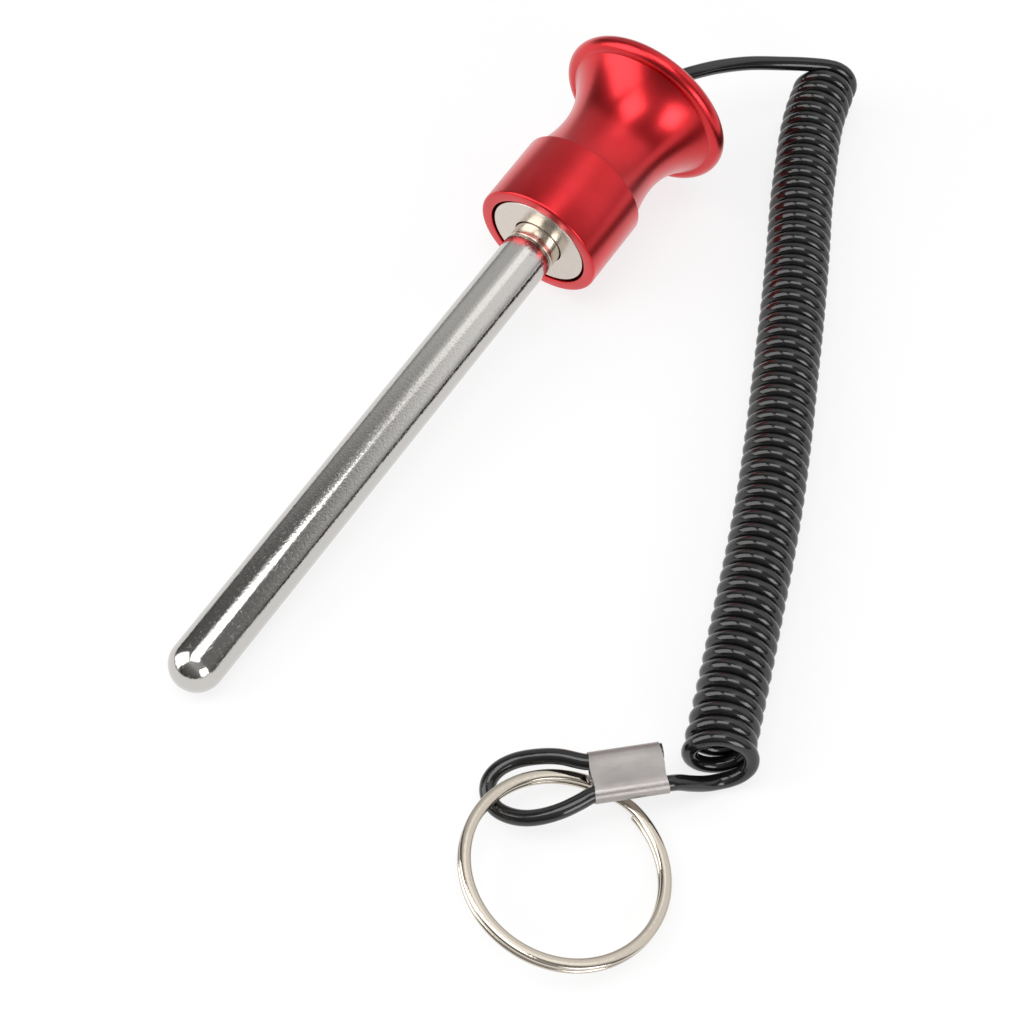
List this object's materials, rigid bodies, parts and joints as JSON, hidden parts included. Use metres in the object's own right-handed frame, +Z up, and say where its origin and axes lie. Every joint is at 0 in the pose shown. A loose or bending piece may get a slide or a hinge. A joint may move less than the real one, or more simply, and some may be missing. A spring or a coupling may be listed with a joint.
{
  "type": "weight stack pin",
  "caption": "Round-nosed steel selector pin with a flared magnetic knob, a curly tether cord, a crimped loop and a split ring.",
  "frame": {"origin": "on the table, under the middle of the length of the pin as it lies", "axes": "+X from the nose of the shaft to the knob, +Z up from the table"},
  "size_m": [0.1932, 0.1086, 0.0352],
  "materials": {
    "anodised_red": "red anodised, satin gloss",
    "polished_steel": "bright chrome plated steel",
    "nickel_plate": "bright nickel plate",
    "satin_steel": "satin pressed steel",
    "ring_wire": "warm nickel plated wire",
    "black_cord": "glossy black plastic cord"
  },
  "bodies": {
    "pin": {"knob": "anodised_red", "pin_shaft": "polished_steel", "shoulder_bush": "nickel_plate", "ring_magnet": "nickel_plate", "cord_stop": "satin_steel", "cord_lead": "black_cord", "cord_coil": "black_cord", "cord_tail": "black_cord", "crimp_sleeve": "satin_steel"},
    "ring": {"split_ring": "ring_wire"}
  },
  "joints": [
    {"name": "ring_turn", "type": "hinge", "parent": "pin", "child": "ring", "pos_m": [-0.0653, -0.0732, 0.00528], "axis": [0.1722, -0.1601, 0.972], "continuous": true}
  ]
}
